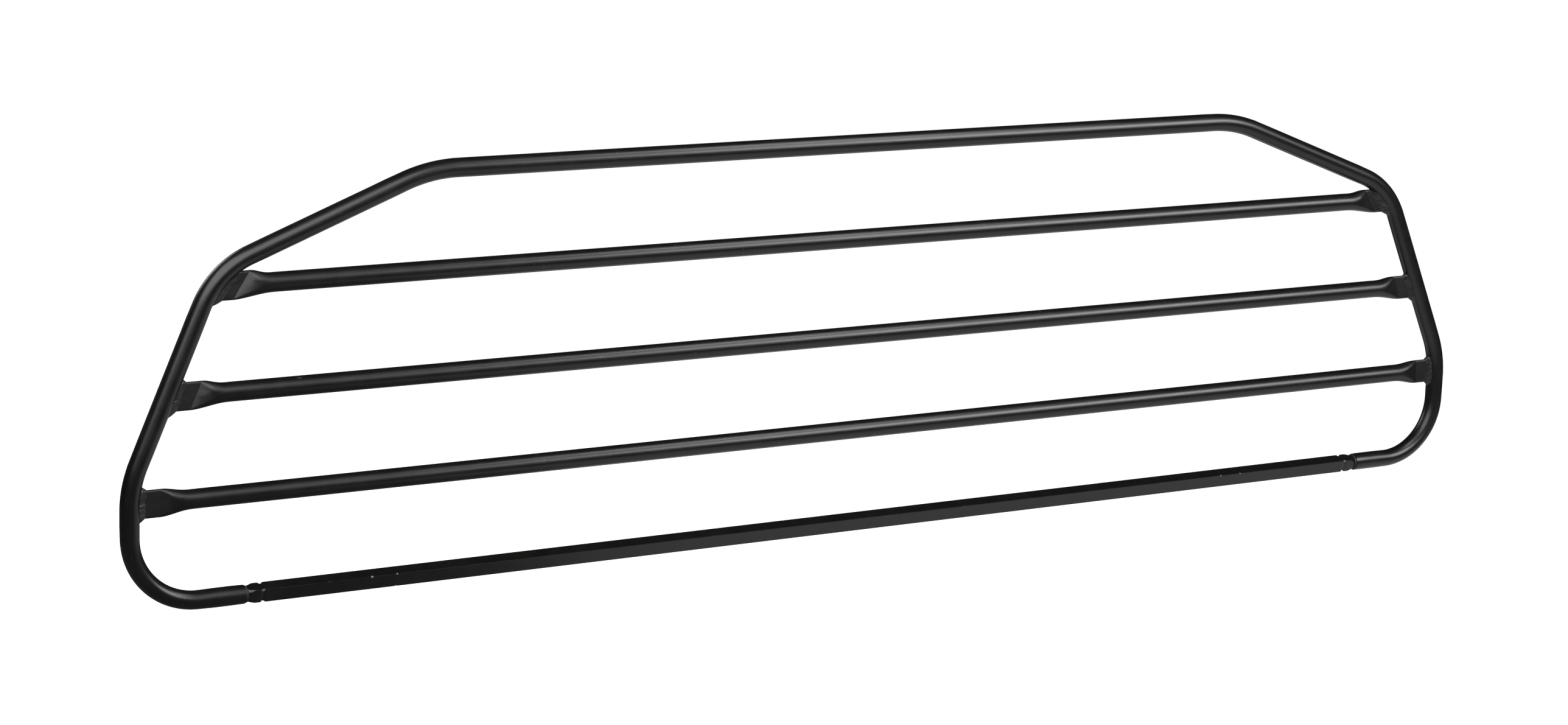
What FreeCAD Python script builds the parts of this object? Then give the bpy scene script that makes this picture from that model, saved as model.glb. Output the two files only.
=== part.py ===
"""Folding luggage rack: a welded panel of round steel tube that swings on a square mounting bar.

The panel stands in the XZ plane, X along its width and Z up. The origin is the middle of the square bar,
on the fold axis. Millimetres throughout. Every size comes from the spreadsheet "sizes".
"""
import FreeCAD, Part
import math
import os

import Sketcher

App = FreeCAD
doc = App.newDocument("luggage_rack")

# ---------------------------------------------------------------- driving dimensions
SIZES = {
    # panel outline, on the tube's centre line
    "half_width": 654.0,
    "knee_height": 97.0,
    "shoulder_half": 581.0,
    "shoulder_height": 266.0,
    "crown_half": 399.0,
    "crown_height": 337.0,
    "corner_bend": 56.0,
    "knee_bend": 97.0,
    "shoulder_bend": 72.0,
    "crown_bend": 130.0,
    # tube
    "tube_radius": 8.0,
    "tube_bore": 6.5,
    # square mounting bar
    "bar_side": 12.0,
    "bar_corner": 0.6,
    "bar_turn": 16.0,
    "bar_half": 557.8,
    "spigot_radius": 5.0,
    "spigot_reach": 592.0,
    "nose_radius": 6.3,
    "nose_start": 553.4,
    "nose_top": 8.4,
    "nose_crown": 9.0,
    "nose_past": 560.0,
    "ring_start": 543.6,
    "ring_end": 546.3,
    "ring_radius": 7.0,
    "turning_clear": 10.0,
    # pivot bushes
    "bush_bore": 5.05,
    "flange_radius": 7.1,
    "flange_face": 558.0,
    "tube_end": 560.0,
    "bush_reach": 590.0,
    # flattened crossbar ends, each section as height by thickness and its distance from the crease
    "flat_height": 23.2,
    "flat_thick": 3.4,
    "near_height": 21.0,
    "near_thick": 7.6,
    "near_back": 8.0,
    "far_height": 17.4,
    "far_thick": 13.6,
    "far_back": 19.0,
    "round_back": 36.0,
    "wall": 1.5,
    # weld beads
    "bead_foot": 34.0,
    "bead_foot_thick": 11.5,
    "bead_toe": 25.0,
    "bead_toe_thick": 4.6,
}
# height, crease distance from the middle and its lean, hoop's centre line, weld bead's toe and lean
CROSSBARS = {
    "lower": {"height": 83.5, "crease": 629.0, "lean": 3.9, "hoop": 653.8, "toe": 640.8, "slant": 3.9},
    "middle": {"height": 168, "crease": 598.5, "lean": 23.4, "hoop": 623.3, "toe": 610.3, "slant": 23.4},
    "upper": {"height": 254, "crease": 560, "lean": 32, "hoop": 584.3, "toe": 566.4, "slant": 45},
}
for level, values in CROSSBARS.items():
    for key, value in values.items():
        SIZES[f"{level}_{key}"] = value

sheet = doc.addObject("Spreadsheet::Sheet", "sizes")
for row, (name, value) in enumerate(SIZES.items(), start=1):
    sheet.set(f"A{row}", name)
    sheet.set(f"B{row}", str(value))
    sheet.setAlias(f"B{row}", name)
doc.recompute()

UP = App.Vector(0, 0, 1)
X_AXIS, Y_AXIS = App.Vector(1, 0, 0), App.Vector(0, 1, 0)


# ---------------------------------------------------------------- small helpers
def size(name):
    return float(sheet.get(name))


def new_body(label):
    body = doc.addObject("PartDesign::Body", label)
    body.Label = label
    return body


def origin_plane(body, role):
    return next(feature for feature in body.Origin.OriginFeatures if feature.Role == role)


def new_sketch(body, name, role):
    """An empty sketch on one of the body's own origin planes."""
    sketch = body.newObject("Sketcher::SketchObject", name)
    sketch.AttachmentSupport = [(origin_plane(body, role), "")]
    sketch.MapMode = "FlatFace"
    return sketch


def point(x, y):
    return App.Vector(x, y, 0)


def line(sketch, start, end):
    return sketch.addGeometry(Part.LineSegment(start, end), False)


def bind(sketch, constraint, expression):
    """Adds a sized constraint whose value follows the sheet."""
    index = sketch.addConstraint(constraint)
    sketch.setExpression(f"Constraints[{index}]", expression)


def circle(sketch, radius, centre_height=None):
    """A circle about the sketch's origin, or about a point at a named height above it."""
    height = size(centre_height) if centre_height else 0.0
    index = sketch.addGeometry(Part.Circle(point(0, height), UP, size(radius)), False)
    bind(sketch, Sketcher.Constraint("Radius", index, size(radius)), f"sizes.{radius}")
    if centre_height:
        sketch.addConstraint(Sketcher.Constraint("PointOnObject", index, 3, -2))
        distance = Sketcher.Constraint("DistanceY", -1, 1, index, 3, height)
        bind(sketch, distance, f"sizes.{centre_height}")
    else:
        sketch.addConstraint(Sketcher.Constraint("Coincident", index, 3, -1, 1))


def crowned(sketch, start, end, radius):
    """An arc from start to end that bulges to the left of the way it runs."""
    chord = end - start
    rise = radius - math.sqrt(radius**2 - chord.Length**2 / 4)
    middle = (start + end) / 2 + App.Vector(-chord.y, chord.x, 0).normalize() * rise
    return sketch.addGeometry(Part.Arc(start, middle, end), False)


def outline(sketch, corners):
    """A closed outline through corners given as (x name, y name), where None is zero.

    A third name makes the edge that leaves the corner an arc of that radius.
    """
    values = [[size(name) if name else 0.0 for name in corner[:2]] for corner in corners]
    points = [point(*value) for value in values]
    # each edge as (index, its start, its end), because an arc's ends may be stored the other way round
    edges = []
    for corner, start, end in zip(corners, points, points[1:] + points[:1]):
        if len(corner) == 3:
            arc = crowned(sketch, start, end, size(corner[2]))
            kept = (sketch.getPoint(arc, 1) - start).Length < 1e-6
            edges.append((arc, 1, 2) if kept else (arc, 2, 1))
            bind(sketch, Sketcher.Constraint("Radius", arc, size(corner[2])), f"sizes.{corner[2]}")
        else:
            edges.append((line(sketch, start, end), 1, 2))
    for (here, _, end), (follower, start, _) in zip(edges, edges[1:] + edges[:1]):
        sketch.addConstraint(Sketcher.Constraint("Coincident", here, end, follower, start))
    for (here, start, _), corner, value in zip(edges, corners, values):
        for kind, axis, name, length in zip(("DistanceX", "DistanceY"), (-2, -1), corner, value):
            if name:
                bind(sketch, Sketcher.Constraint(kind, -1, 1, here, start, length), f"sizes.{name}")
            else:
                sketch.addConstraint(Sketcher.Constraint("PointOnObject", here, start, axis))


def turn_profile(body, kind, name, corners):
    """An outline in the XZ plane, X along and Z out, turned about the X axis."""
    sketch = new_sketch(body, name + "_outline", "XZ_Plane")
    outline(sketch, corners)
    feature = body.newObject(kind, name)
    feature.Profile = sketch
    feature.ReferenceAxis = (sketch, ["H_Axis"])
    feature.Angle = 360.0
    return feature


def mirror_about_middle(body, originals):
    """Copies features to the other side of the panel's middle plane."""
    mirrored = body.newObject("PartDesign::Mirrored", body.Label + "_mirrored")
    mirrored.Originals = originals
    mirrored.MirrorPlane = (origin_plane(body, "YZ_Plane"), [""])
    body.Tip = mirrored


def cut(name, base, tool):
    feature = doc.addObject("Part::Cut", name)
    feature.Label = name
    feature.Base = base
    feature.Tool = tool
    return feature


def left_of(name, right):
    """The same part on the other side."""
    feature = doc.addObject("Part::Mirroring", name)
    feature.Label = name
    feature.Source = right
    feature.Base = App.Vector(0, 0, 0)
    feature.Normal = X_AXIS
    return feature


# ---------------------------------------------------------------- the bent hoop
BENDS = [
    ("crown_half", "crown_height", "crown_bend"),
    ("shoulder_half", "shoulder_height", "shoulder_bend"),
    ("half_width", "knee_height", "knee_bend"),
    ("half_width", None, "corner_bend"),
]


def hoop_path(body):
    """Half of the hoop's centre line, from the middle of the crown to the open tube end."""
    path = new_sketch(body, body.Label + "_path", "XZ_Plane")
    corners = [point(size(x), size(z) if z else 0.0) for x, z, _ in BENDS]
    route = [point(0, size("crown_height")), *corners, point(size("tube_end"), 0)]
    pieces, position = [], route[0]
    for before, corner, after, (_, _, bend) in zip(route, corners, route[2:], BENDS):
        back, onward = (before - corner).normalize(), (after - corner).normalize()
        half_open = back.getAngle(onward) / 2
        reach = size(bend) / math.tan(half_open)
        start, end = corner + back * reach, corner + onward * reach
        bulge = size(bend) * (1 / math.sin(half_open) - 1)
        middle = corner + (back + onward).normalize() * bulge
        pieces.append(line(path, position, start))
        pieces.append(path.addGeometry(Part.Arc(start, middle, end), False))
        position = end
    pieces.append(line(path, position, route[-1]))
    constrain_path(path, pieces)
    return path


def constrain_path(path, pieces):
    """Tangent joints, bend radii, and the crossing points of neighbouring runs, tied to the sheet."""
    for first, second in zip(pieces, pieces[1:]):
        gaps = [
            ((path.getPoint(first, a) - path.getPoint(second, b)).Length, a, b)
            for a in (1, 2)
            for b in (1, 2)
        ]
        _, a, b = min(gaps)
        path.addConstraint(Sketcher.Constraint("Tangent", first, a, second, b))
    for (x, z, bend), before, arc, after in zip(BENDS, pieces[0::2], pieces[1::2], pieces[2::2]):
        bind(path, Sketcher.Constraint("Radius", arc, size(bend)), f"sizes.{bend}")
        mark = path.addGeometry(Part.Point(point(size(x), size(z) if z else 0.0)), True)
        path.addConstraint(Sketcher.Constraint("PointOnObject", mark, 1, before))
        path.addConstraint(Sketcher.Constraint("PointOnObject", mark, 1, after))
        bind(path, Sketcher.Constraint("DistanceX", -1, 1, mark, 1, size(x)), f"sizes.{x}")
        if z:
            bind(path, Sketcher.Constraint("DistanceY", -1, 1, mark, 1, size(z)), f"sizes.{z}")
    crown, foot = pieces[0], pieces[-1]
    path.addConstraint(Sketcher.Constraint("Horizontal", crown))
    path.addConstraint(Sketcher.Constraint("PointOnObject", crown, 1, -2))
    path.addConstraint(Sketcher.Constraint("PointOnObject", foot, 1, -1))
    path.addConstraint(Sketcher.Constraint("PointOnObject", foot, 2, -1))
    length = Sketcher.Constraint("DistanceX", -1, 1, foot, 2, size("tube_end"))
    bind(path, length, "sizes.tube_end")


def make_hoop(label, radii):
    """The hoop as a pipe: one radius gives the solid outside, two give the hollow tube."""
    body = new_body(label)
    path = hoop_path(body)
    section = new_sketch(body, label + "_section", "YZ_Plane")
    for radius in radii:
        circle(section, radius, centre_height="crown_height")
    pipe = body.newObject("PartDesign::AdditivePipe", label + "_pipe")
    pipe.Profile = section
    pipe.Spine = path
    doc.recompute()
    mirror_about_middle(body, [pipe])
    doc.recompute()
    return body


hoop = make_hoop("hoop_tube", ["tube_radius", "tube_bore"])
hoop_outside = make_hoop("hoop_outside", ["tube_radius"])


# ---------------------------------------------------------------- crossbars with flattened ends
def place_section(sketch, level, position, lean):
    """Stands a section across the crossbar at `position`, its upper end leaning towards the middle."""
    x, z = size(f"{level}_crease"), size(f"{level}_height")
    sketch.AttachmentOffset = App.Placement(App.Vector(0, z, x), App.Rotation(X_AXIS, -lean))
    sketch.setExpression("AttachmentOffset.Base.y", f"sizes.{level}_height")
    sketch.setExpression("AttachmentOffset.Base.z", position)


def oval(sketch, height, thick, inset=0.0, lean=0.0):
    """A flattened tube's outline, straight flanks joined by half-round edges."""
    half_thick = size(thick) / 2 - inset
    run = (size(height) / 2 - size(thick) / 2) / math.cos(math.radians(lean))
    if half_thick < 0.15:
        half_thick = 0.2
    left = line(sketch, point(-half_thick, -run), point(-half_thick, run))
    top_circle = Part.Circle(point(0, run), UP, half_thick)
    top = sketch.addGeometry(Part.ArcOfCircle(top_circle, 0, math.pi), False)
    right = line(sketch, point(half_thick, run), point(half_thick, -run))
    low_circle = Part.Circle(point(0, -run), UP, half_thick)
    low = sketch.addGeometry(Part.ArcOfCircle(low_circle, math.pi, 2 * math.pi), False)
    corners = ((left, 2, top, 2), (top, 1, right, 1), (right, 2, low, 2), (low, 1, left, 1))
    for first, a, second, b in corners:
        sketch.addConstraint(Sketcher.Constraint("Tangent", first, a, second, b))
    sketch.addConstraint(Sketcher.Constraint("Vertical", left))
    sketch.addConstraint(Sketcher.Constraint("Symmetric", top, 3, low, 3, -1, 1))
    gap = Sketcher.Constraint("Radius", top, half_thick)
    span = Sketcher.Constraint("DistanceY", low, 3, top, 3, 2 * run)
    bind(sketch, gap, f"max(0.2, sizes.{thick} / 2 - {inset})")
    bind(sketch, span, f"(sizes.{height} - sizes.{thick}) / cos({lean})")


def round_section(sketch, radius):
    """A circle in four arcs, which a loft pairs with the oval's four edges."""
    arcs, corner = [], math.radians(12)
    turns = [corner, math.pi - corner, math.pi + corner, 2 * math.pi - corner, 2 * math.pi + corner]
    whole = Part.Circle(point(0, 0), UP, size(radius))
    for start, end in zip(turns, turns[1:]):
        arcs.append(sketch.addGeometry(Part.ArcOfCircle(whole, start, end), False))
    for first, second in zip(arcs, arcs[1:] + arcs[:1]):
        sketch.addConstraint(Sketcher.Constraint("Coincident", first, 2, second, 1))
    for other in arcs:
        sketch.addConstraint(Sketcher.Constraint("Coincident", other, 3, -1, 1))
    bind(sketch, Sketcher.Constraint("Radius", arcs[0], size(radius)), f"sizes.{radius}")


def tube_sections(body, level, radius, inset, lean):
    """Sections from the round tube to the flat end, all in one order for the loft."""
    sections = []
    steps = [
        ("round", "round_back", 0.0),
        ("far", "far_back", 0.25),
        ("near", "near_back", 0.6),
        ("flat", None, 1.0),
    ]
    for name, back, share in steps:
        sketch = new_sketch(body, f"{body.Label}_{radius}_{name}", "YZ_Plane")
        position = f"sizes.{level}_crease" + (f" - sizes.{back}" if back else "")
        place_section(sketch, level, position, lean * share)
        if name == "round":
            round_section(sketch, radius)
        else:
            oval(sketch, f"{name}_height", f"{name}_thick", inset, lean * share)
        sections.append(sketch)
    return sections


def loft(body, kind, name, sections, ruled=False):
    feature = body.newObject(kind, name)
    feature.Profile = sections[0]
    feature.Sections = sections[1:]
    feature.Ruled = ruled
    feature.Closed = False
    return feature


def straight_tube(body, name, level, radius, kind):
    """The round run from the middle out to where the flattening starts."""
    sketch = new_sketch(body, name + "_circle", "YZ_Plane")
    sketch.AttachmentOffset = App.Placement(App.Vector(0, size(f"{level}_height"), 0), App.Rotation())
    sketch.setExpression("AttachmentOffset.Base.y", f"sizes.{level}_height")
    circle(sketch, radius)
    feature = body.newObject(kind, name)
    feature.Profile = sketch
    feature.Length = size(f"{level}_crease") - size("round_back")
    feature.setExpression("Length", f"sizes.{level}_crease - sizes.round_back")
    return feature


def end_plate(body, kind, name, level, inset, lean):
    """The flat run from the crease out to the hoop's centre line."""
    sections = []
    for step in ("crease", "hoop"):
        sketch = new_sketch(body, f"{name}_{step}", "YZ_Plane")
        place_section(sketch, level, f"sizes.{level}_{step}", lean)
        oval(sketch, "flat_height", "flat_thick", inset, lean)
        sections.append(sketch)
    return loft(body, kind, name, sections, ruled=True)


def make_crossbar_solid(label, level, radius, inset):
    """The crossbar's outside, or with an inset the space inside it."""
    body = new_body(label)
    lean = size(f"{level}_lean")
    tube = straight_tube(body, label + "_run", level, radius, "PartDesign::Pad")
    doc.recompute()
    sections = tube_sections(body, level, radius, inset, lean)
    swage = loft(body, "PartDesign::AdditiveLoft", label + "_swage", sections)
    doc.recompute()
    plate = end_plate(body, "PartDesign::AdditiveLoft", label + "_plate", level, inset, lean)
    doc.recompute()
    mirror_about_middle(body, [tube, swage, plate])
    doc.recompute()
    return body


crossbars, crossbar_outsides = {}, {}
for level in CROSSBARS:
    outside = make_crossbar_solid(f"outside_{level}", level, "tube_radius", 0.0)
    inside = make_crossbar_solid(f"inside_{level}", level, "tube_bore", size("wall"))
    blank = cut(f"blank_{level}", outside, inside)
    crossbars[level] = cut(f"crossbar_{level}", blank, hoop_outside)
    crossbar_outsides[level] = outside
doc.recompute()


# ---------------------------------------------------------------- weld beads
def make_weld(level):
    """A bead round the flat end, from a broad foot on the hoop to a toe on the flat."""
    name = f"weld_{level}_right"
    body = new_body("bead_" + level)
    sections = []
    slant = size(f"{level}_slant")
    for edge, place in (("bead_foot", "hoop"), ("bead_toe", "toe")):
        sketch = new_sketch(body, f"{body.Label}_{edge}", "YZ_Plane")
        place_section(sketch, level, f"sizes.{level}_{place}", slant)
        oval(sketch, edge, edge + "_thick", 0.0, slant)
        sections.append(sketch)
    loft(body, "PartDesign::AdditiveLoft", body.Label + "_loft", sections, ruled=True)
    doc.recompute()
    on_hoop = cut(f"bead_{level}_on_hoop", body, hoop_outside)
    return cut(name, on_hoop, crossbar_outsides[level])


welds = {}
for level in CROSSBARS:
    welds[f"weld_{level}_right"] = right = make_weld(level)
    welds[f"weld_{level}_left"] = left_of(f"weld_{level}_left", right)
doc.recompute()

# ---------------------------------------------------------------- square mounting bar
def square_stock(body):
    """The square bar, turned a little about its own axis, with its long edges eased."""
    square = new_sketch(body, "bar_square", "YZ_Plane")
    square.AttachmentOffset = App.Placement(App.Vector(0, 0, 0), App.Rotation(UP, size("bar_turn")))
    half = size("bar_side") / 2
    corners = [point(-half, -half), point(half, -half), point(half, half), point(-half, half)]
    sides = [line(square, start, end) for start, end in zip(corners, corners[1:] + corners[:1])]
    for number, (side, follower) in enumerate(zip(sides, sides[1:] + sides[:1])):
        square.addConstraint(Sketcher.Constraint("Coincident", side, 2, follower, 1))
        square.addConstraint(Sketcher.Constraint("Vertical" if number % 2 else "Horizontal", side))
    square.addConstraint(Sketcher.Constraint("Symmetric", sides[0], 1, sides[2], 1, -1, 1))
    square.addConstraint(Sketcher.Constraint("Equal", sides[0], sides[1]))
    bind(square, Sketcher.Constraint("DistanceX", sides[0], 1, sides[0], 2, 2 * half), "sizes.bar_side")
    stock = body.newObject("PartDesign::Pad", "bar_stock")
    stock.Profile = square
    stock.Midplane = True
    stock.Length = 2 * size("bar_half")
    stock.setExpression("Length", "2 * sizes.bar_half")
    doc.recompute()
    edges = [f"Edge{n}" for n, edge in enumerate(stock.Shape.Edges, start=1) if edge.Length > 500]
    eased = body.newObject("PartDesign::Fillet", "bar_edges")
    eased.Base = (stock, edges)
    eased.Radius = size("bar_corner")
    eased.setExpression("Radius", "sizes.bar_corner")
    doc.recompute()


def make_bar():
    """Square stock with a turned ring near each end, a crowned nose and a round spigot beyond it."""
    body = new_body("square_bar")
    square_stock(body)
    nose = turn_profile(body, "PartDesign::Groove", "bar_nose", [
        ("nose_start", "turning_clear"), ("nose_start", "nose_top", "nose_crown"),
        ("bar_half", "nose_radius"), ("nose_past", "nose_radius"), ("nose_past", "turning_clear"),
    ])
    doc.recompute()
    ring = turn_profile(body, "PartDesign::Groove", "bar_ring", [
        ("ring_start", "turning_clear"), ("ring_start", "ring_radius"),
        ("ring_end", "ring_radius"), ("ring_end", "turning_clear"),
    ])
    doc.recompute()
    spigot = turn_profile(body, "PartDesign::Revolution", "bar_spigot", [
        ("ring_start", None), ("spigot_reach", None),
        ("spigot_reach", "spigot_radius"), ("ring_start", "spigot_radius"),
    ])
    doc.recompute()
    mirror_about_middle(body, [nose, ring, spigot])
    doc.recompute()
    return body


bar = make_bar()


# ---------------------------------------------------------------- pivot bushes
def make_bush(label):
    """A flanged sleeve pressed into the hoop's tube end."""
    body = new_body(label)
    turn_profile(body, "PartDesign::Revolution", label + "_sleeve", [
        ("flange_face", "bush_bore"), ("bush_reach", "bush_bore"), ("bush_reach", "tube_bore"),
        ("tube_end", "tube_bore"), ("tube_end", "flange_radius"), ("flange_face", "flange_radius"),
    ])
    doc.recompute()
    return body


bush_right = make_bush("pivot_bush_right")
bush_left = left_of("pivot_bush_left", bush_right)
doc.recompute()

# ---------------------------------------------------------------- check and write
parts = {
    "hoop_tube": hoop,
    "square_bar": bar,
    "pivot_bush_left": bush_left,
    "pivot_bush_right": bush_right,
}
parts.update({f"crossbar_{level}": crossbar for level, crossbar in crossbars.items()})
parts.update(welds)

for thing in doc.Objects:
    faults = [state for state in thing.State if state in ("Invalid", "Error")]
    if faults:
        raise SystemExit(f"{thing.Name}: {faults}")
os.makedirs("parts", exist_ok=True)
for node, feature in sorted(parts.items()):
    shape = feature.Shape
    if shape.isNull() or not shape.isValid() or len(shape.Solids) != 1:
        raise SystemExit(f"{node} is not one sound solid: {len(shape.Solids)} solids")
    shape.exportStep(f"parts/{node}.step")
    box = shape.BoundBox
    print(f"{node:20s} {shape.Volume:10.0f} mm3  "
          f"{box.XMin:8.2f} {box.XMax:8.2f} {box.YMin:7.2f} {box.YMax:7.2f} {box.ZMin:7.2f} {box.ZMax:7.2f}")
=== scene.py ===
"""Folding luggage rack: coated tube, pressed and welded bar ends, nicked square bar."""

import math

import bmesh
import bpy
import numpy as np
from mathutils import Matrix, Vector


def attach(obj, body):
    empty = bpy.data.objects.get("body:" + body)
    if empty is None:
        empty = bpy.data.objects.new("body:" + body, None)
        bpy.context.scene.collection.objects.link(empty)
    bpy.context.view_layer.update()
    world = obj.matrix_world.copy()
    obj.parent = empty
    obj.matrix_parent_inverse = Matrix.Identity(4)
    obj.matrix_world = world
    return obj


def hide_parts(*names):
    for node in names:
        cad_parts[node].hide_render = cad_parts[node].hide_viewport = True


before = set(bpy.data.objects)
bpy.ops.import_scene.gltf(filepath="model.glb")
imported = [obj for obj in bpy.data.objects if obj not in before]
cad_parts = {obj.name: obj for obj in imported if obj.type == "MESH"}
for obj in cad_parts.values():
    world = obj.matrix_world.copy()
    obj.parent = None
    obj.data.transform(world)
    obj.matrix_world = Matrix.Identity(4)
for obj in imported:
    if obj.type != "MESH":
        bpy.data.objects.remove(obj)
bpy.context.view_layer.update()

# ------------------------------------------------------------------ sizes, in metres
MM = 0.001
TUBE_RADIUS = 8.0 * MM
TUBE_WALL = 1.5 * MM
TUBE_END = 560.0 * MM  # where the hoop's tube stops, either side of the middle
HOOP_BENDS = [  # where two straight runs would cross, as x and height, and the bend between them
    (399.0, 337.0, 130.0),
    (581.0, 266.0, 72.0),
    (654.0, 97.0, 97.0),
    (654.0, 0.0, 56.0),
]
BAR_SIDE = 12.0 * MM
BAR_TURN = math.radians(16.0)  # how far the bar is turned from the panel
BAR_CORNER = 0.36 * MM
FLAT_THICK = 3.4 * MM
FLATS = {1: (22.4 * MM, 0.8 * MM), -1: (23.2 * MM, 0.6 * MM)}  # height and drop of the flats, by side
BEAD_RISE = {"lower": 0.4 * MM, "middle": 2.0 * MM, "upper": 3.6 * MM}
LEVELS = {  # height, crease distance from the middle, crease lean, weld toe distance, weld lean
    "lower": (83.5, 629.0, 3.9, 640.8, 3.9),
    "middle": (168.0, 598.5, 23.4, 610.3, 23.4),
    "upper": (254.0, 560.0, 32.0, 566.4, 45.0),
}
SEED = 7


# ------------------------------------------------------------------ numbers and grids
def smooth(t):
    """Rises from 0 to 1 as t does, level at both ends: 3 t squared less 2 t cubed."""
    t = np.clip(t, 0.0, 1.0)
    return t * t * (3.0 - 2.0 * t)


def lattice_noise(x, y, seed):
    """Soft bumps between -1 and 1: seeded random heights on whole numbers, blended between them."""
    table = np.random.default_rng(seed).uniform(-1.0, 1.0, (512, 512))
    x0, y0 = np.floor(x).astype(int), np.floor(y).astype(int)
    fx, fy = smooth(x - x0), smooth(y - y0)
    x1, y1 = (x0 + 1) % 512, (y0 + 1) % 512
    x0, y0 = x0 % 512, y0 % 512
    near = table[x0, y0] * (1 - fy) + table[x0, y1] * fy
    far = table[x1, y0] * (1 - fy) + table[x1, y1] * fy
    return near * (1 - fx) + far * fx


def grid_faces(rows, columns, close_rows, close_columns):
    """Quads of a grid of points, each taken as (row, column), joined round on itself where asked."""
    r = np.arange(rows if close_rows else rows - 1)[:, None]
    c = np.arange(columns if close_columns else columns - 1)[None, :]
    r1, c1 = (r + 1) % rows, (c + 1) % columns
    quad = [r * columns + c, r * columns + c1, r1 * columns + c1, r1 * columns + c]
    return np.stack([np.broadcast_to(q, (r.size, c.size)) for q in quad], -1).reshape(-1, 4)


def outward(points, faces):
    """Turns a closed shell's faces round if the volume they enclose comes out negative."""
    p = points.reshape(-1, 3)
    a, b, c, d = (p[faces[:, i]] for i in range(4))
    volume = np.einsum("ij,ij->i", a, np.cross(b, c) + np.cross(c, d)).sum()
    return faces if volume > 0 else faces[:, ::-1]


def shell_piece(name, points, material, body, close_rows=False, crease=40.0, values=None):
    """A grid of points, rows by columns by 3, closed round its columns, as one piece.

    values are numbers per point, kept on the mesh under their names.
    """
    faces = outward(points, grid_faces(*points.shape[:2], close_rows, True))
    flat = points.reshape(-1, 3)
    mesh = bpy.data.meshes.new(name)
    mesh.from_pydata(flat.tolist(), [], faces.tolist())
    for key, value in (values or {}).items():
        kept = mesh.attributes.new(key, "FLOAT", "POINT")
        kept.data.foreach_set("value", value.astype(np.float32).ravel())
    work = bmesh.new()
    work.from_mesh(mesh)
    bmesh.ops.remove_doubles(work, verts=work.verts, dist=1e-6)
    work.to_mesh(mesh)
    work.free()
    mesh.materials.append(material)
    mesh.shade_smooth()
    mesh.set_sharp_from_angle(angle=math.radians(crease))
    piece = bpy.data.objects.new(name, mesh)
    bpy.context.scene.collection.objects.link(piece)
    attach(piece, body)
    return piece


# ------------------------------------------------------------------ the hoop's centre line
def hoop_route():
    """Straight runs joined by tangent arcs, from the left tube end over the crown to the right one.

    At a corner the arc starts where the run is radius / tan(half the corner's angle) short of it.
    Returns x and height, the unit normal towards the inside, the distance run, and how bent the tube is,
    which is 1 in the tightest bend and 0 on a straight run.
    """
    right = [(x * MM, z * MM, r * MM) for x, z, r in HOOP_BENDS]
    left = [(-x, z, r) for x, z, r in reversed(right)]
    corners = left + right
    ends = [np.array([-TUBE_END, 0.0]), *(np.array(c[:2]) for c in corners), np.array([TUBE_END, 0.0])]
    places, bent = [], []
    start = ends[0]
    for before, corner, after, (_, _, radius) in zip(ends, ends[1:], ends[2:], corners):
        back, onward = before - corner, after - corner
        back, onward = back / np.linalg.norm(back), onward / np.linalg.norm(onward)
        half = math.acos(float(back @ onward)) / 2
        reach = radius / math.tan(half)
        first, last = corner + back * reach, corner + onward * reach
        middle = corner + (back + onward) / np.linalg.norm(back + onward) * radius / math.sin(half)
        steps = max(2, int(np.linalg.norm(first - start) / (12 * MM)))
        run = start + (first - start) * np.linspace(0, 1, steps, endpoint=False)[:, None]
        sweep = math.pi - 2 * half
        turn = -np.linspace(0, sweep, max(8, int(math.degrees(sweep) / 1.5)), endpoint=False)
        spoke = first - middle
        arc = middle + np.stack([
            np.cos(turn) * spoke[0] - np.sin(turn) * spoke[1],
            np.sin(turn) * spoke[0] + np.cos(turn) * spoke[1],
        ], 1)
        places += [run, arc]
        bent += [np.zeros(len(run)), np.full(len(arc), HOOP_BENDS[-1][2] * MM / radius)]
        start = last
    steps = 9
    places.append(start + (ends[-1] - start) * np.linspace(0, 1, steps)[:, None])
    bent.append(np.zeros(steps))
    line = np.concatenate(places)
    bend = np.concatenate(bent)
    travel = np.gradient(line, axis=0)
    travel /= np.linalg.norm(travel, axis=1)[:, None]
    inward = np.stack([travel[:, 1], -travel[:, 0]], 1)
    run = np.concatenate([[0.0], np.cumsum(np.linalg.norm(np.diff(line, axis=0), axis=1))])
    return line, inward, run, bend


ROUTE, INWARD, RUN, BEND = hoop_route()


def soften(values, distance, reach):
    """A weighted average of neighbours along the run, a bell curve of the given reach."""
    gap = (distance[:, None] - distance[None, :]) / reach
    weight = np.exp(-gap * gap)
    return (weight @ values) / weight.sum(1)


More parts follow.
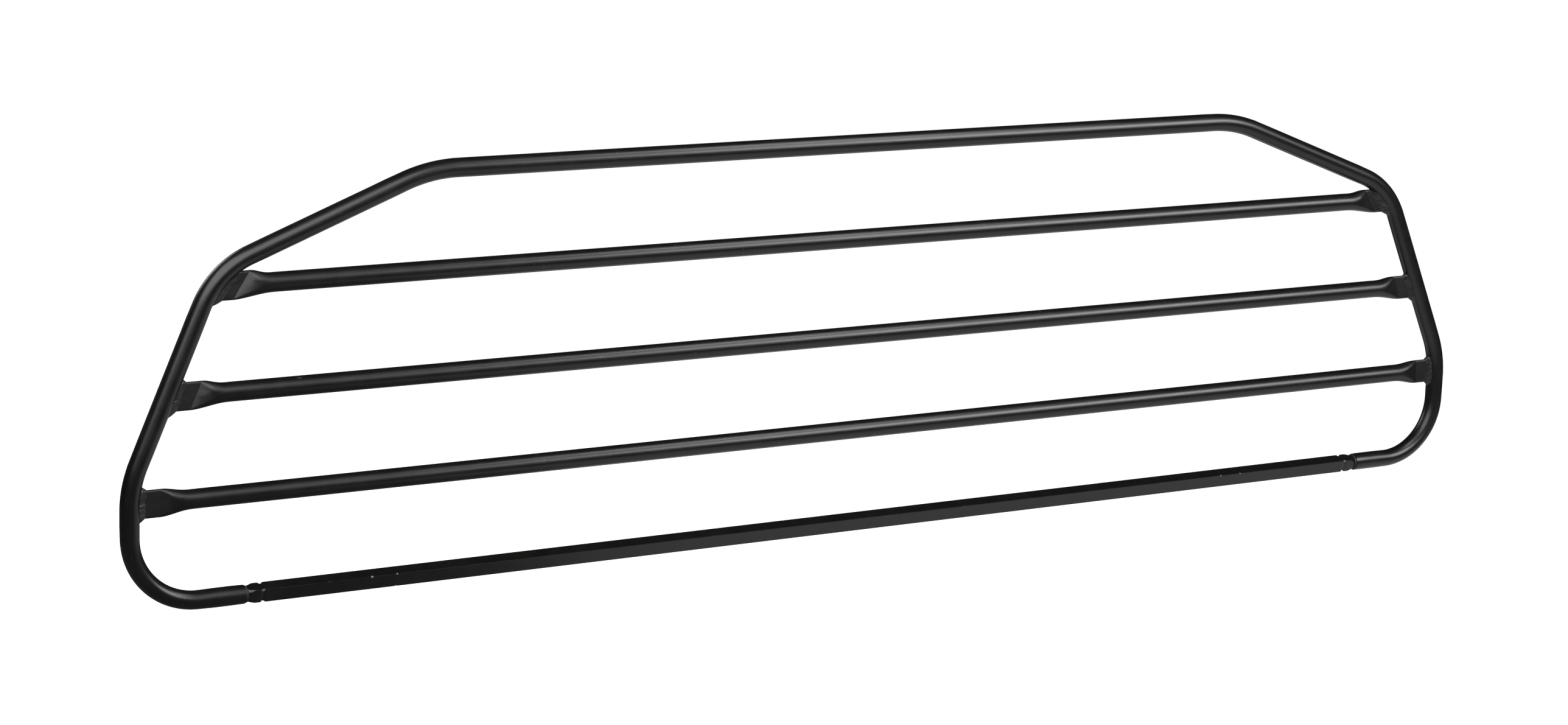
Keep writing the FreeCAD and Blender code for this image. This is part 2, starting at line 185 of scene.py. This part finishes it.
def make_hoop(material):
    """The bent tube: a ring carried along the centre line, outside to the right end and back inside.

    A point is the centre line plus radius times (cos a along the inward normal, sin a across the panel).
    In a bend the ring is squeezed 3.5% towards the inside and spread 1.8% across, and where a bend starts
    or ends the former leaves a low ridge on the outer side.
    """
    around = np.linspace(0, 2 * math.pi, 56, endpoint=False)
    squeeze = soften(BEND, RUN, 9 * MM)
    marks = RUN[np.flatnonzero(np.abs(np.diff(BEND)) > 0.05)]
    former = np.exp(-(((RUN[:, None] - marks) / (2.2 * MM)) ** 2)).sum(1) * 0.10 * MM
    bore = TUBE_RADIUS - TUBE_WALL
    outer = np.full(len(RUN), TUBE_RADIUS)
    outer[[0, -1]] -= 0.22 * MM  # the cut end's eased rim
    inner = np.full(len(RUN) - 2, bore)
    end_face = np.array([
        TUBE_RADIUS - 0.35 * MM, TUBE_RADIUS - 0.75 * MM, bore + 0.3 * MM, bore + 0.05 * MM, bore
    ])
    right_end, left_end = np.full(len(end_face), RUN[-1]), np.zeros(len(end_face))
    run = np.concatenate([RUN, right_end, RUN[-2:0:-1], left_end])
    radius = np.concatenate([outer, end_face, inner, end_face[::-1]])
    along_run = (*ROUTE.T, *INWARD.T, squeeze, former)
    pick = [np.interp(run, RUN, v) for v in along_run]
    x, z, nx, nz, squeezed, ridge = (v[:, None] for v in pick)
    ring = radius[:, None]
    toward, across = np.cos(around)[None, :], np.sin(around)[None, :]
    ridge = ridge * np.clip(-toward, 0, 1) * (ring > TUBE_RADIUS - 0.3 * MM)
    inwards = toward * (ring * (1 - 0.035 * squeezed) + ridge)
    sideways = across * ring * (1 + 0.018 * squeezed)
    points = np.stack([x + nx * inwards, sideways + 0 * x, z + nz * inwards], -1)
    piece = shell_piece("hoop", points, material, "rack", close_rows=True)
    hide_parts("hoop_tube")


# ------------------------------------------------------------------ crossbars
def side_curve(depth):
    """Height and x of the line `depth` inside the hoop's centre line, on its right, lowest first."""
    upper = slice(int(np.argmax(ROUTE[:, 0] > 0.3)), None)
    x = (ROUTE + INWARD * depth)[upper, 0][::-1]
    z = (ROUTE + INWARD * depth)[upper, 1][::-1]
    keep = np.concatenate([[True], np.diff(z) > 1e-7])
    start = int(np.argmax(z > 20 * MM))
    return z[start:][keep[start:]], x[start:][keep[start:]]


def pressed_outline(height, thick, around):
    """A tube's outline as it is pressed flat: round edges above and below, joined by flat flanks.

    height and thick are columns of values; the half run of flank is (height - thick) / 2. Near the middle
    of a flank the angle is held still, so the flank is flat, and the more so the longer the flank.
    """
    r = thick / 2
    run = (height - thick) / 2
    window = 0.45
    swing = (around + math.pi / 2) % math.pi - math.pi / 2  # angle from the nearer flank's middle
    side = np.where(np.cos(around) >= 0, 1.0, -1.0)
    past = np.clip(np.abs(swing) - window, 0, None)
    bound = np.sign(swing) * past * (math.pi / 2) / (math.pi / 2 - window)
    hold = smooth(run / (0.5 * r))
    angle = swing * (1 - hold) + bound * hold
    slide = np.clip(swing / window, -1, 1)
    across = side * r * np.cos(angle)
    upward = side * (r * np.sin(angle) + run * slide)
    return across, upward


def crossbar_half(level, side, around, seed):
    """The right half of a crossbar, from inside the hoop's wall to the middle.

    d is the distance from the crease towards the middle. Height falls from the flat's to the tube's as
    (1 - smooth(d / 27)) to the 1.3, and thickness rises as 1 - (1 - d / 27) to the 2.5. The flat sits a
    little low, by drop. Sections lean with the crease, and stand upright again 30 mm on. Beyond the crease
    the flat runs straight to the hoop. Returns the points, and how worked the metal is at each, from 0 to 1.
    """
    height, crease, lean = LEVELS[level][:3]
    height, crease, lean = height * MM, crease * MM, math.radians(lean)
    near = [np.linspace(0, 1.0, 5), np.linspace(1.6, 12, 18), np.linspace(13, 38, 18)]
    near = np.concatenate(near) * MM
    far = np.linspace(38 * MM, crease, 34)[1:]
    d = np.concatenate([near, far])
    flat_height, drop = FLATS[side]
    tube = 2 * TUBE_RADIUS
    tall = tube + (flat_height - tube) * (1 - smooth(d / (27 * MM))) ** 1.3
    left_to_go = np.clip(1 - d / (27 * MM), 0, 1)
    thick = FLAT_THICK + (tube - FLAT_THICK) * (1 - left_to_go**2.5)
    across, upward = pressed_outline(tall[:, None], thick[:, None], around[None, :])
    upward = upward - (drop * (1 - smooth(d / (32 * MM))))[:, None]
    tilt = np.tan(lean * (1 - smooth(d / (30 * MM))))
    tilt[-1] = 0.0
    x = (crease - d)[:, None] - tilt[:, None] * upward
    waver = lattice_noise(x / (5 * MM), upward / (5 * MM) + 40, seed)
    pressed = (1 - smooth(d / (22 * MM)))[:, None]
    across = across * (1 + 0.05 * waver * pressed)
    z_hoop, x_hoop = side_curve(7.6 * MM)
    limit = np.interp(height + upward[0], z_hoop, x_hoop)
    share = np.linspace(0, 1, 9)[:-1, None]
    plate_x = limit + (x[0] - limit) * share
    dent = 1 - 0.06 * np.exp(-((upward[0] / (1.2 * MM)) ** 2)) * np.sin(share * math.pi) ** 0.5
    ripple = lattice_noise(plate_x / (4 * MM), upward[0] / (4 * MM) + 80, seed + 1)
    plate_across = across[0] * dent * (1 + 0.06 * ripple * np.sin(share * math.pi))
    plate = np.stack([plate_x, plate_across, np.broadcast_to(upward[0], plate_x.shape)], -1)
    body = np.stack([x, across, upward + 0 * x], -1)
    closing = plate[:1] * np.array([1.0, 0.0, 1.0])
    half = np.concatenate([closing, plate, body])
    half[..., 2] += height
    worked = np.concatenate([np.ones(9), 1 - smooth(d / (20 * MM))])
    return half, np.broadcast_to(worked[:, None], half.shape[:2])


def make_crossbar(level, material, seed):
    """Both halves of a crossbar as one closed shell."""
    around = np.linspace(0, 2 * math.pi, 80, endpoint=False)
    right, worked = crossbar_half(level, 1, around, seed)
    left, _ = crossbar_half(level, -1, around, seed + 10)
    left = left * np.array([-1.0, 1.0, 1.0])
    points = np.concatenate([left, right[-2::-1]])
    pressed = np.concatenate([worked, worked[-2::-1]])
    name = "crossbar_" + level
    values = {"pressed": pressed}
    piece = shell_piece(name + "_pressed", points, material, "rack", crease=14.0, values=values)
    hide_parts(name)


# ------------------------------------------------------------------ weld beads
def flat_outline(side, count):
    """The flat end's outline at even steps: y, height, and the outward normal."""
    flat_height, drop = FLATS[side]
    r, run = FLAT_THICK / 2, (flat_height - FLAT_THICK) / 2
    lengths = np.array([2 * run, math.pi * r, 2 * run, math.pi * r])
    total = lengths.sum()
    s = np.linspace(0, total, count, endpoint=False)
    first, second, third = np.cumsum(lengths)[:3]
    up, over, down = s < first, (s >= first) & (s < second), (s >= second) & (s < third)
    turn = np.where(over, (s - first) / r, np.where(s >= third, (s - third) / r, 0.0))
    parts, cosine, sine, one = [up, over, down], np.cos(turn), np.sin(turn), np.ones(count)
    y = np.select(parts, [r * one, r * cosine, -r * one], -r * cosine)
    z = np.select(parts, [-run + s, run + r * sine, run - (s - second)], -run - r * sine)
    ny = np.select(parts, [one, cosine, -one], -cosine)
    nz = np.select(parts, [0 * one, sine, 0 * one], -sine)
    return s, total, y, z - drop, ny, nz


def make_weld(level, side, material, seed):
    """A bead round the flat end: a bowed strip from its toe on the flat to its foot on the hoop.

    Across the bead a point is (1 - v) squared toe, plus 2 v (1 - v) crown, plus v squared foot. The crown
    is the corner between flat and hoop pushed out past the middle of toe and foot. Low scallops and lumps
    cover the bead, and its widths wander. One more row, inside the metal, closes the strip on itself.
    """
    count, rows = 288, 13
    s, total, y, z, ny, nz = flat_outline(side, count)
    height, lean = LEVELS[level][0] * MM, math.radians(LEVELS[level][4])
    z_hoop, x_hoop = side_curve(0.0)
    climb = np.concatenate([[0.0], np.cumsum(np.hypot(np.diff(z_hoop), np.diff(x_hoop)))])
    nx_hoop = -np.gradient(z_hoop, climb)
    nz_hoop = np.gradient(x_hoop, climb)

    def on_hoop(along, out):
        """A point of the hoop's skin: distance along its centre line, and y."""
        deep = np.sqrt(np.clip(TUBE_RADIUS**2 - out**2, 0, None))
        x, h, a, b = (np.interp(along, climb, v) for v in (x_hoop, z_hoop, nx_hoop, nz_hoop))
        return np.stack([x + a * deep, out, h + b * deep], -1)

    wander = lattice_noise(s / total * 24, 0 * s + seed, seed)
    wander = wander * (1 - smooth((s / total - 0.9) / 0.1))
    skin_z, skin_x = side_curve(7.85 * MM)
    corner_z = height + z
    along = np.interp(corner_z, skin_z, np.interp(skin_z, z_hoop, climb))
    skin = on_hoop(along, y)
    skin = skin[np.argsort(skin[:, 2])]
    corner = np.stack([np.interp(corner_z, skin[:, 2], skin[:, 0]), y, corner_z], -1)
    reach = (4.6 + 0.5 * wander) * MM / math.cos(lean)
    toe = corner - np.stack([reach, 0 * s, 0 * s], -1)
    toe[:, 1] += 0.05 * MM * ny
    spread = (3.9 + 0.7 * wander) * MM
    foot = on_hoop(along + spread * nz + BEAD_RISE[level], y + (2.4 + 0.4 * wander) * MM * ny)
    middle = (toe + foot) / 2
    out = middle - corner
    size = np.linalg.norm(out, axis=1)[:, None] + 1e-9
    crown = corner + out * 1.12
    v = np.linspace(0, 1, rows)[:, None, None]
    strip = (1 - v) ** 2 * toe + 2 * v * (1 - v) * crown + v**2 * foot
    along_bead, over_bead = np.broadcast_arrays(s[None, :], v[..., 0])
    scallop = np.abs(np.sin(along_bead / total * math.pi * 21 + 2.2 * wander + 1.6 * over_bead))
    lump = lattice_noise(along_bead / (3.4 * MM), 2.3 * over_bead, seed + 2)
    bump = (0.02 * scallop + 0.14 * lump) * MM
    strip = strip + np.sin(v * math.pi) ** 0.7 * (out / size) * bump[..., None]
    under = np.stack([corner[:, 0] + 0.6 * MM, y * 0.7, corner_z - 0.4 * MM * nz], -1)[None]
    points = np.concatenate([strip, under])
    points[..., 0] *= side
    points = points.transpose(1, 0, 2)
    name = f"weld_{level}_" + ("right" if side > 0 else "left")
    piece = shell_piece(name + "_bead", points, material, "rack", close_rows=True, crease=50.0)
    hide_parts(name)


# ------------------------------------------------------------------ square bar
def square_radius(angle, half, corner):
    """Distance from the middle of a rounded square to its edge.

    That is half / cos on a face, and on a rounded corner the ray's far crossing of the corner's circle.
    """
    near = (angle + math.pi / 4) % (math.pi / 2) - math.pi / 4
    face = half / np.cos(near)
    centre = (half - corner) * math.sqrt(2)
    off = math.pi / 4 - np.abs(near)
    inside = corner**2 - (centre * np.sin(off)) ** 2
    rounded = centre * np.cos(off) + np.sqrt(np.clip(inside, 0, None))
    limit = math.atan2(half - corner, half)
    return np.where(np.abs(near) <= limit, face, rounded)


NICKS = [  # along the bar in mm, which edge in degrees up from the front, length and depth in mm
    (-451.5, 29.0, 1.5, 0.34),
    (-429.5, 29.0, 1.2, 0.22),
    (-430.0, -61.0, 1.3, 0.2),
    (400.0, 29.0, 1.2, 0.3),
    (422.0, 29.0, 1.0, 0.22),
    (-489.0, 29.0, 0.6, 0.08),
    (118.0, 29.0, 0.6, 0.06),
]


def make_bar(material):
    """Square bar carried along X, its radius at each angle held under a cap that varies along its length.

    The cap is the turned groove, the rounded nose and the spigot. At a nick the edge is lowered by depth
    times a bell curve in length and in angle.
    """
    quarter = np.concatenate([np.linspace(-38, 38, 9)[:-1], np.linspace(38, 52, 9)[:-1]])
    turn = np.radians(np.concatenate([quarter + 90 * k for k in range(4)]))
    right = np.array([  # distance along, cap on the radius, share of the face's depth kept
        (542.6, 9.0, 1.0), (543.2, 9.0, 1.0), (543.5, 7.75, 0.985), (543.9, 7.2, 0.960),
        (544.6, 7.0, 0.945), (545.4, 7.0, 0.945), (546.1, 7.2, 0.960), (546.6, 7.75, 0.985),
        (547.0, 9.0, 1.0), (551.6, 9.0, 1.0), (551.9, 8.30, 1.0), (553.0, 8.0, 1.0),
        (554.2, 7.6, 1.0), (555.4, 7.2, 1.0), (556.6, 6.75, 1.0), (557.4, 6.4, 1.0),
        (557.8, 6.1, 1.0), (557.8, 5.0, 1.0), (575.0, 5.0, 1.0), (591.4, 5.0, 1.0),
        (592.0, 4.4, 1.0), (592.0, 0.0, 1.0),
    ])
    plain = np.linspace(-540, 540, 73)
    local = np.concatenate([nick[0] + np.linspace(-4, 4, 25) for nick in NICKS])
    middle = np.unique(np.round(np.concatenate([plain, local]), 2))
    middle = np.stack([middle, middle * 0 + 9.0, middle * 0 + 1.0], 1)
    left = right[::-1] * np.array([-1.0, 1.0, 1.0])
    rows = np.concatenate([left, middle, right])
    along, cap, keep = rows[:, 0] * MM, rows[:, 1] * MM, rows[:, 2]
    radius = square_radius(turn, BAR_SIDE / 2, BAR_CORNER)[None, :] * keep[:, None]
    facing = turn + BAR_TURN
    for place, edge, length, depth in NICKS:
        gap = (facing - (math.pi - math.radians(edge)) + math.pi) % (2 * math.pi) - math.pi
        off = (along[:, None] - place * MM) / (length * 0.6 * MM)
        radius = radius - depth * MM * np.exp(-(off**2) - (gap[None, :] / 0.075) ** 2)
    radius = np.minimum(radius, cap[:, None])
    points = np.stack([
        np.broadcast_to(along[:, None], radius.shape), radius * np.cos(facing), radius * np.sin(facing)
    ], -1)
    piece = shell_piece("mounting_bar_square", points, material, "mounting_bar", crease=25.0)
    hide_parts("square_bar")


# ------------------------------------------------------------------ bushes
def make_bush(side, material):
    """A flanged sleeve: its section, a closed line of (along, radius), turned about X."""
    section = np.array([
        (558.0, 5.25), (558.2, 5.05), (589.7, 5.05), (590.0, 5.25), (590.0, 6.1), (588.8, 6.5),
        (560.3, 6.5), (560.0, 6.6), (560.0, 6.95), (559.8, 7.1), (558.3, 7.1), (558.0, 6.85),
    ]) * MM
    turn = np.linspace(0, 2 * math.pi, 64, endpoint=False)
    along, radius = section[:, :1], section[:, 1:]
    points = np.stack([side * along + 0 * turn, radius * np.cos(turn), radius * np.sin(turn)], -1)
    name = "pivot_bush_" + ("right" if side > 0 else "left")
    piece = shell_piece(name + "_sleeve", points, material, "rack", close_rows=True, crease=30.0)
    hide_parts(name)


# ------------------------------------------------------------------ finishes
class Wire:
    """A node's output in a sum. + - and * with a number or another wire add Math nodes."""

    def __init__(self, finish, socket):
        self.finish, self.socket = finish, socket

    def _with(self, operation, first, second):
        return self.finish.node("ShaderNodeMath", {"operation": operation}, {0: first, 1: second})

    def __add__(self, other):
        return self._with("ADD", self, other)

    def __sub__(self, other):
        return self._with("SUBTRACT", self, other)

    def __rsub__(self, other):
        return self._with("SUBTRACT", other, self)

    def __mul__(self, other):
        return self._with("MULTIPLY", self, other)

    __radd__, __rmul__ = __add__, __mul__


class Finish:
    """The nodes of one owner, a material or the world, whose varying sockets are fed by sums of wires."""

    def __init__(self, owner):
        self.owner = owner
        owner.use_nodes = True
        self.tree = owner.node_tree
        self.tree.nodes.clear()
        self.place = self.node("ShaderNodeTexCoord", output="Object")

    def node(self, kind, settings=None, sockets=None, output=0):
        """Adds a node: its settings first, then the numbers, colours or wires of its sockets."""
        made = self.tree.nodes.new(kind)
        for key, value in (settings or {}).items():
            setattr(made, key, value)
        for key, value in (sockets or {}).items():
            if isinstance(value, Wire):
                self.tree.links.new(value.socket, made.inputs[key])
            else:
                made.inputs[key].default_value = value
        return Wire(self, made.outputs[output]) if made.outputs else None

    def noise(self, size, detail=2.0, roughness=0.5, place=None):
        """Noise whose lumps are about `size` metres across, from 0 to 1."""
        return self.node("ShaderNodeTexNoise", sockets={
            "Vector": place or self.place, "Scale": 1.0 / size, "Detail": detail, "Roughness": roughness
        })

    def ramp(self, wire, low, high, first=0.0, last=1.0):
        """Smooth step from first to last as the wire goes from low to high."""
        sockets = {"Value": wire, "From Min": low, "From Max": high, "To Min": first, "To Max": last}
        return self.node("ShaderNodeMapRange", {"interpolation_type": "SMOOTHSTEP"}, sockets)

    def blend(self, share, first, second):
        """A colour from first to second as share goes from 0 to 1."""
        sockets = {0: share, 6: first, 7: second}
        return self.node("ShaderNodeMix", {"data_type": "RGBA"}, sockets, output=2)

    def surface(self, colour, roughness, height, constants):
        """Ends the material. height is in metres and feeds Bump."""
        normal = self.node("ShaderNodeBump", sockets={"Height": height, "Distance": 1.0, "Strength": 1.0})
        sockets = {"Base Color": colour, "Roughness": roughness, "Normal": normal, **constants}
        return self.end_with(self.node("ShaderNodeBsdfPrincipled", sockets=sockets))

    def end_with(self, shader, kind="ShaderNodeOutputMaterial"):
        """Joins the shader to the output, and gives back the finished owner."""
        self.node(kind, sockets={"Surface": shader})
        return self.owner


COAT = (0.0027, 0.0026, 0.0024, 1.0)
COAT_PALE = (0.0062, 0.0060, 0.0056, 1.0)
DUST = (0.16, 0.155, 0.15, 1.0)
PRIMER = (0.22, 0.222, 0.225, 1.0)


def powder_coat(name, pressed=False):
    """Satin black powder coat: orange peel, fine grain, cloudy gloss and a little dust."""
    f = Finish(bpy.data.materials.new(name))
    peel = f.noise(1.6 * MM, 1.0)
    grain = f.noise(0.28 * MM, 2.0, 0.6)
    cloud = f.noise(22 * MM, 3.0, 0.55)
    dusty = f.ramp(f.noise(35 * MM, 1.0), 0.55, 0.7)
    speck = f.ramp(f.noise(1.6 * MM, 0.0), 0.80, 0.825) * dusty
    tone = f.ramp(cloud, 0.35, 0.7) * 0.55 + grain * 0.25
    rough = 0.25 + cloud * 0.09 + grain * 0.05
    height = peel * (0.022 * MM) + grain * (0.006 * MM)
    if pressed:
        worked = f.node("ShaderNodeAttribute", {"attribute_name": "pressed"}, output="Fac")
        blotch = f.noise(3.2 * MM, 4.0, 0.62) * worked
        tone = tone + blotch * 0.5
        rough = rough + worked * 0.06 + blotch * 0.08
        height = height + f.noise(0.9 * MM, 3.0, 0.7) * worked * (0.035 * MM)
    colour = f.blend(speck * 0.5, f.blend(tone, COAT, COAT_PALE), DUST)
    return f.surface(colour, rough, height, {"Specular IOR Level": 0.5, "IOR": 1.5})


def bar_coat(name):
    """The same coat on the square bar, rubbed along its edges and chipped to pale primer at the nicks."""
    f = Finish(bpy.data.materials.new(name))
    y, z = (f.node("ShaderNodeSeparateXYZ", sockets={"Vector": f.place}, output=axis) for axis in "YZ")
    c, s = math.cos(BAR_TURN), math.sin(BAR_TURN)
    across = f.node("ShaderNodeMath", {"operation": "ABSOLUTE"}, {0: y * c + z * s})
    upward = f.node("ShaderNodeMath", {"operation": "ABSOLUTE"}, {0: z * c - y * s})
    nearest = f.node("ShaderNodeMath", {"operation": "MINIMUM"}, {0: across, 1: upward})
    edge = f.ramp(nearest, 5.45 * MM, 5.8 * MM)
    grain = f.noise(0.3 * MM, 2.0, 0.6)
    cloud = f.noise(14 * MM, 3.0, 0.6)
    drawn = f.noise(1.0, 3.0, 0.6, f.node("ShaderNodeMapping", sockets={
        "Vector": f.place, "Scale": (25.0, 900.0, 900.0)}))
    chips = None
    broken = f.noise(0.55 * MM, 3.0, 0.7)
    for place, angle, length, depth in NICKS:
        up = math.radians(angle)
        spot = (place * MM, -8.0 * MM * math.cos(up), 8.0 * MM * math.sin(up))
        between = {0: f.place, 1: spot}
        away = f.node("ShaderNodeVectorMath", {"operation": "DISTANCE"}, between, output="Value")
        chip = f.ramp(away + (broken - 0.5) * (1.6 * MM), length * 0.78 * MM, length * 0.42 * MM)
        chip = chip * min(1.0, 0.25 + depth * 2.6)
        if chips is None:
            chips = chip
        else:
            chips = f.node("ShaderNodeMath", {"operation": "MAXIMUM"}, {0: chips, 1: chip})
    rub = edge * f.ramp(broken, 0.35, 0.75) * f.ramp(f.noise(30 * MM, 2.0), 0.35, 0.65, 0.35, 1.0)
    tone = f.ramp(cloud, 0.3, 0.7) * 0.6 + grain * 0.25
    base = f.blend(rub * 0.14, f.blend(tone, COAT, COAT_PALE), DUST)
    colour = f.blend(chips, base, PRIMER)
    rough = 0.25 + cloud * 0.08 + grain * 0.05 - rub * 0.05
    height = f.noise(1.5 * MM, 1.0) * (0.018 * MM) + grain * (0.006 * MM)
    height = height + drawn * (0.008 * MM) - chips * (0.05 * MM)
    return f.surface(colour, rough, height, {"Specular IOR Level": 0.5, "IOR": 1.5})


def weld_coat(name):
    """Coat over a weld: lumpy, with pale blotches where it lies thin on the ripples."""
    f = Finish(bpy.data.materials.new(name))
    lump = f.noise(1.9 * MM, 4.0, 0.6)
    grain = f.noise(0.35 * MM, 2.0, 0.7)
    blotch = f.ramp(f.noise(4.2 * MM, 3.0, 0.6), 0.42, 0.68)
    thin = blotch * 0.75 + grain * 0.2
    colour = f.blend(thin, (0.0035, 0.0035, 0.0037, 1), (0.017, 0.017, 0.0165, 1))
    height = lump * (0.16 * MM) + grain * (0.02 * MM)
    return f.surface(colour, 0.36 + blotch * 0.1 + grain * 0.06, height, {"IOR": 1.5})


def bush_finish(name):
    """Matt black moulded plastic with a fine spark-eroded grain."""
    f = Finish(bpy.data.materials.new(name))
    grain = f.noise(0.22 * MM, 3.0, 0.65)
    tint = f.noise(5 * MM, 2.0)
    colour = f.blend(tint, (0.008, 0.008, 0.008, 1), (0.014, 0.014, 0.014, 1))
    return f.surface(colour, 0.55 + grain * 0.15, grain * (0.012 * MM), {"IOR": 1.47})


# ------------------------------------------------------------------ pieces
tube_coat = powder_coat("satin_black_tube")
pressed_coat = powder_coat("satin_black_pressed_tube", pressed=True)
square_coat = bar_coat("satin_black_square_bar")
bead_coat = weld_coat("coated_weld_bead")
sleeve = bush_finish("moulded_black_bush")

make_hoop(tube_coat)
for order, level in enumerate(LEVELS):
    make_crossbar(level, pressed_coat, SEED + 20 * order)
    for side in (1, -1):
        make_weld(level, side, bead_coat, SEED + 5 * order + (2 if side > 0 else 0) + 100)
make_bar(square_coat)
for side in (1, -1):
    make_bush(side, sleeve)
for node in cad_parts.values():
    node.data.materials.clear()
    node.data.materials.append(tube_coat)

# ------------------------------------------------------------------ floor, light, camera
def glowing(name):
    """A white that lights itself evenly, like a light table, with a faint cloudiness."""
    f = Finish(bpy.data.materials.new(name))
    shade = f.noise(0.6, 2.0)
    tint = f.blend(shade, (1.0, 1.0, 1.0, 1.0), (0.995, 0.995, 0.995, 1.0))
    sockets = {"Base Color": tint, "Roughness": 0.9, "Emission Color": tint, "Emission Strength": 1.0}
    return f.end_with(f.node("ShaderNodeBsdfPrincipled", sockets=sockets))


def make_floor():
    """A floor that turns up into a backdrop: flat along y, then a quarter turn of radius BACKDROP_BEND.

    It is seen, but it neither lights the rack nor shows in its coat.
    """
    across = np.linspace(-FLOOR_HALF, FLOOR_HALF, 9)
    turn = np.linspace(0, math.pi / 2, 25)
    flat = np.linspace(-FLOOR_HALF, BACKDROP_START, 15)
    y = np.concatenate([flat, BACKDROP_START + BACKDROP_BEND * np.sin(turn[1:])])
    y = np.append(y, y[-1])
    rise = BACKDROP_BEND * (1 - np.cos(turn[1:]))
    z = np.concatenate([np.zeros(len(flat)), rise, [FLOOR_HALF]]) + FLOOR_LEVEL
    points = np.stack(np.broadcast_arrays(across[None, :], y[:, None], z[:, None]), -1)
    mesh = bpy.data.meshes.new("studio_floor")
    faces = grid_faces(len(y), len(across), False, False)
    mesh.from_pydata(points.reshape(-1, 3).tolist(), [], faces.tolist())
    mesh.materials.append(glowing("pale_floor"))
    mesh.shade_smooth()
    floor = bpy.data.objects.new("studio_floor", mesh)
    bpy.context.scene.collection.objects.link(floor)
    floor.visible_glossy = False
    floor.visible_diffuse = False
    floor.visible_shadow = False


def soft_light(name, place, aim, wide, tall, radiance):
    """A rectangular soft box at `place`, facing `aim`; radiance is what the coat sees of it."""
    data = bpy.data.lights.new(name, "AREA")
    data.shape = "RECTANGLE"
    data.size, data.size_y = wide, tall
    data.energy = 4.0 * wide * tall * radiance
    lamp = bpy.data.objects.new(name, data)
    bpy.context.scene.collection.objects.link(lamp)
    lamp.location = place
    lamp.rotation_mode = "QUATERNION"
    lamp.rotation_quaternion = (Vector(aim) - Vector(place)).to_track_quat("-Z", "Y")
    lamp.visible_camera = False


FLOOR_LEVEL = -0.42
FLOOR_HALF = 9.0
BACKDROP_START = 12.0
BACKDROP_BEND = 1.6
PANEL_MIDDLE = (0.0, 0.0, 0.17)
make_floor()
soft_light("near_box", (0.525, -0.502, 1.257), PANEL_MIDDLE, 0.42, 0.52, 5.49)
soft_light("far_box", (1.48, -1.69, 1.22), PANEL_MIDDLE, 1.35, 1.15, 4.82)
soft_light("far_strip", (1.47, -1.68, 1.27), PANEL_MIDDLE, 1.30, 0.50, 4.29)
soft_light("left_box", (-0.932, -0.803, 1.048), (-0.2, 0.0, 0.17), 1.80, 1.30, 3.08)
soft_light("floor_reflector", (0.80, -0.19, FLOOR_LEVEL + 0.01), (0.80, -0.18, 1.0), 1.70, 1.89, 0.48)
soft_light("back_box", (-1.2, 2.4, 1.3), PANEL_MIDDLE, 1.2, 1.2, 2.68)


SKY, LOW = 0.020, 0.12
DARKEST, BRIGHTEST = -0.08, -0.5  # sines of 5 and 30 degrees below level


def make_world():
    """White where it is seen. As light a dim room: SKY, rising by LOW from 5 to 30 degrees below."""
    f = Finish(bpy.data.worlds.new("studio"))
    bpy.context.scene.world = f.owner
    way = f.node("ShaderNodeTexCoord", output="Generated")
    upward = f.node("ShaderNodeSeparateXYZ", sockets={"Vector": way}, output="Z")
    dim = f.node("ShaderNodeMapRange", sockets={
        "Value": upward, "From Min": BRIGHTEST, "From Max": DARKEST, "To Min": SKY + LOW, "To Max": SKY
    })
    seen = f.node("ShaderNodeLightPath", output="Is Camera Ray")
    strength = f.node("ShaderNodeMix", sockets={0: seen, 2: dim, 3: 1.0})
    white = {"Color": (1.0, 1.0, 1.0, 1.0), "Strength": strength}
    f.end_with(f.node("ShaderNodeBackground", sockets=white), "ShaderNodeOutputWorld")


make_world()

RIGHT = (0.8746213, -0.48411115, 0.02596097)
ABOVE = (0.08149595, 0.19959988, 0.97648262)
BACK = (-0.47790793, -0.85193678, 0.21402741)
camera_data = bpy.data.cameras.new("camera")
camera_data.sensor_width = 36.0
camera_data.sensor_fit = "HORIZONTAL"
camera_data.lens = 79.69
camera_data.clip_start, camera_data.clip_end = 0.05, 60.0
camera = bpy.data.objects.new("camera", camera_data)
bpy.context.scene.collection.objects.link(camera)
turned = Matrix((RIGHT, ABOVE, BACK)).transposed().to_4x4()
camera.matrix_world = Matrix.Translation((-1.49886, -2.55198, 0.79083)) @ turned
bpy.context.scene.camera = camera
bpy.context.scene.view_settings.view_transform = "Standard"
